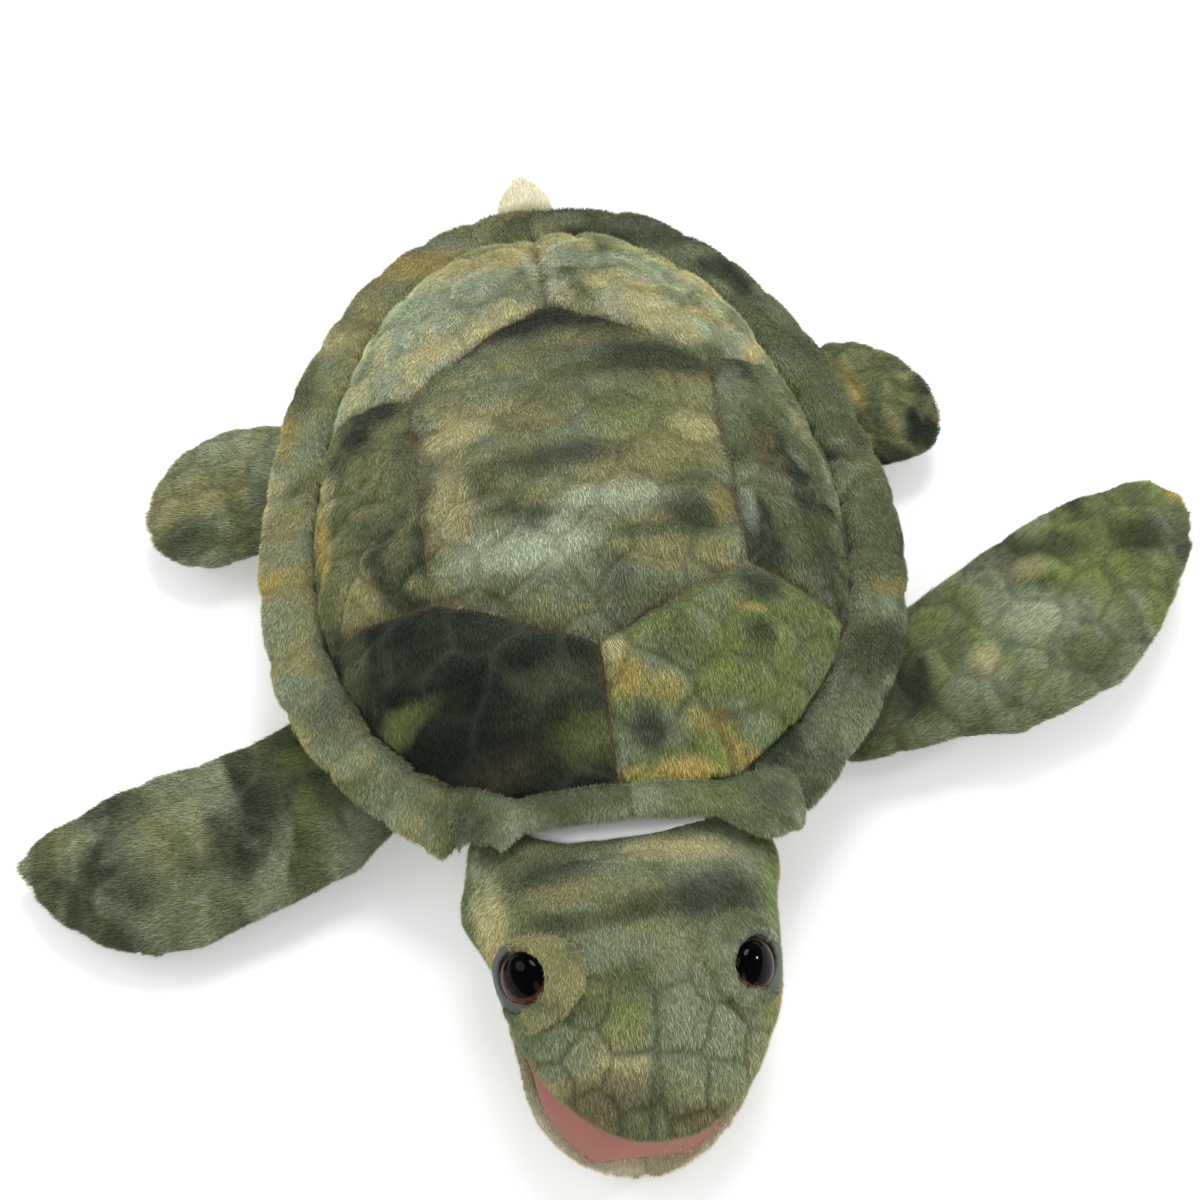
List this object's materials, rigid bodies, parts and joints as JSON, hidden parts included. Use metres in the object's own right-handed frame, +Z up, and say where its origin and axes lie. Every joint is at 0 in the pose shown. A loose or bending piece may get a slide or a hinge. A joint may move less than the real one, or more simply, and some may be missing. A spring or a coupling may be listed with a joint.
{
  "type": "sea turtle hand puppet",
  "caption": "Plush sea turtle hand puppet with a padded shell, an arm opening under the tail, a working mouth, four stuffed flippers and a tail.",
  "frame": {"origin": "on the resting surface, under the middle of the flat belly panel", "axes": "+Z up out of the shell, -Y towards the head, +X towards the turtle's own left flippers"},
  "size_m": [0.5697, 0.5211, 0.1332],
  "materials": {
    "green_plush": "short dense pile, mottled olive, moss and grey green, embossed with scales",
    "cream_plush": "short cream pile",
    "white_lining": "smooth white lining",
    "sleeve_lining": "smooth woven lining",
    "mouth_lining": "soft pink velour",
    "olive_patch": "short light olive pile",
    "dark_felt": "dark grey green felt",
    "fibre_fill": "loose polyester fibre",
    "eye_plastic": "polished, dark brown iris and black pupil",
    "washer_plastic": "moulded, matt"
  },
  "bodies": {
    "shell": {"carapace_panel_centre": "green_plush", "carapace_panel_front_left": "green_plush", "carapace_panel_front_right": "green_plush", "carapace_panel_side_left": "green_plush", "carapace_panel_side_right": "green_plush", "carapace_panel_rear_left": "green_plush", "carapace_panel_rear_right": "green_plush", "carapace_rim_left": "green_plush", "carapace_rim_right": "green_plush", "neck_collar": "green_plush", "collar_lining": "white_lining", "belly_panel": "cream_plush", "throat_gusset": "cream_plush", "side_gusset_left": "cream_plush", "side_gusset_right": "cream_plush", "hand_sleeve": "sleeve_lining", "opening_hem": "cream_plush", "body_filling": "fibre_fill"},
    "neck": {"neck": "green_plush"},
    "head": {"head": "green_plush", "upper_palate": "mouth_lining", "eye_left": "eye_plastic", "eye_right": "eye_plastic", "eye_washer_left": "washer_plastic", "eye_washer_right": "washer_plastic", "eye_socket_left": "dark_felt", "eye_socket_right": "dark_felt", "eyelid_left": "olive_patch", "eyelid_right": "olive_patch"},
    "jaw": {"lower_jaw": "cream_plush", "lower_palate": "mouth_lining"},
    "front_flipper_left": {"front_flipper_left": "green_plush"},
    "front_flipper_right": {"front_flipper_right": "green_plush"},
    "rear_flipper_left": {"rear_flipper_left": "green_plush"},
    "rear_flipper_right": {"rear_flipper_right": "green_plush"},
    "tail": {"tail": "cream_plush"}
  },
  "joints": [
    {"name": "neck_turn", "type": "hinge", "parent": "shell", "child": "neck", "pos_m": [-0.004, -0.15, 0.048], "axis": [0, 0, 1], "range_deg": [-12, 12], "stiffness_Nm_per_rad": 0.6},
    {"name": "head_nod", "type": "hinge", "parent": "neck", "child": "head", "pos_m": [-0.00362, -0.172, 0.048], "axis": [0.9998, 0.0175, 0], "range_deg": [-15, 15], "stiffness_Nm_per_rad": 1.6},
    {"name": "jaw_open", "type": "hinge", "parent": "head", "child": "jaw", "pos_m": [-0.00422, -0.23202, 0.03814], "axis": [0.9861, 0.0172, -0.165], "range_deg": [-23.5, 12], "stiffness_Nm_per_rad": 0.2},
    {"name": "front_flipper_left_flap", "type": "hinge", "parent": "shell", "child": "front_flipper_left", "pos_m": [0.10874, -0.08553, 0.0235], "axis": [-0.5326, -0.8463, 0], "range_deg": [-30, 18], "stiffness_Nm_per_rad": 0.35},
    {"name": "front_flipper_right_flap", "type": "hinge", "parent": "shell", "child": "front_flipper_right", "pos_m": [-0.10874, -0.08553, 0.0235], "axis": [-0.5326, 0.8463, 0], "range_deg": [-30, 18], "stiffness_Nm_per_rad": 0.35},
    {"name": "rear_flipper_left_flap", "type": "hinge", "parent": "shell", "child": "rear_flipper_left", "pos_m": [0.11828, 0.05805, 0.024], "axis": [0.244, -0.9698, 0], "range_deg": [-20, 15], "stiffness_Nm_per_rad": 0.15},
    {"name": "rear_flipper_right_flap", "type": "hinge", "parent": "shell", "child": "rear_flipper_right", "pos_m": [-0.11828, 0.05805, 0.024], "axis": [0.244, 0.9698, 0], "range_deg": [-20, 15], "stiffness_Nm_per_rad": 0.15},
    {"name": "tail_flap", "type": "hinge", "parent": "shell", "child": "tail", "pos_m": [0, 0.20578, 0.041], "axis": [1, 0, 0], "range_deg": [-25, 15], "stiffness_Nm_per_rad": 0.03}
  ]
}
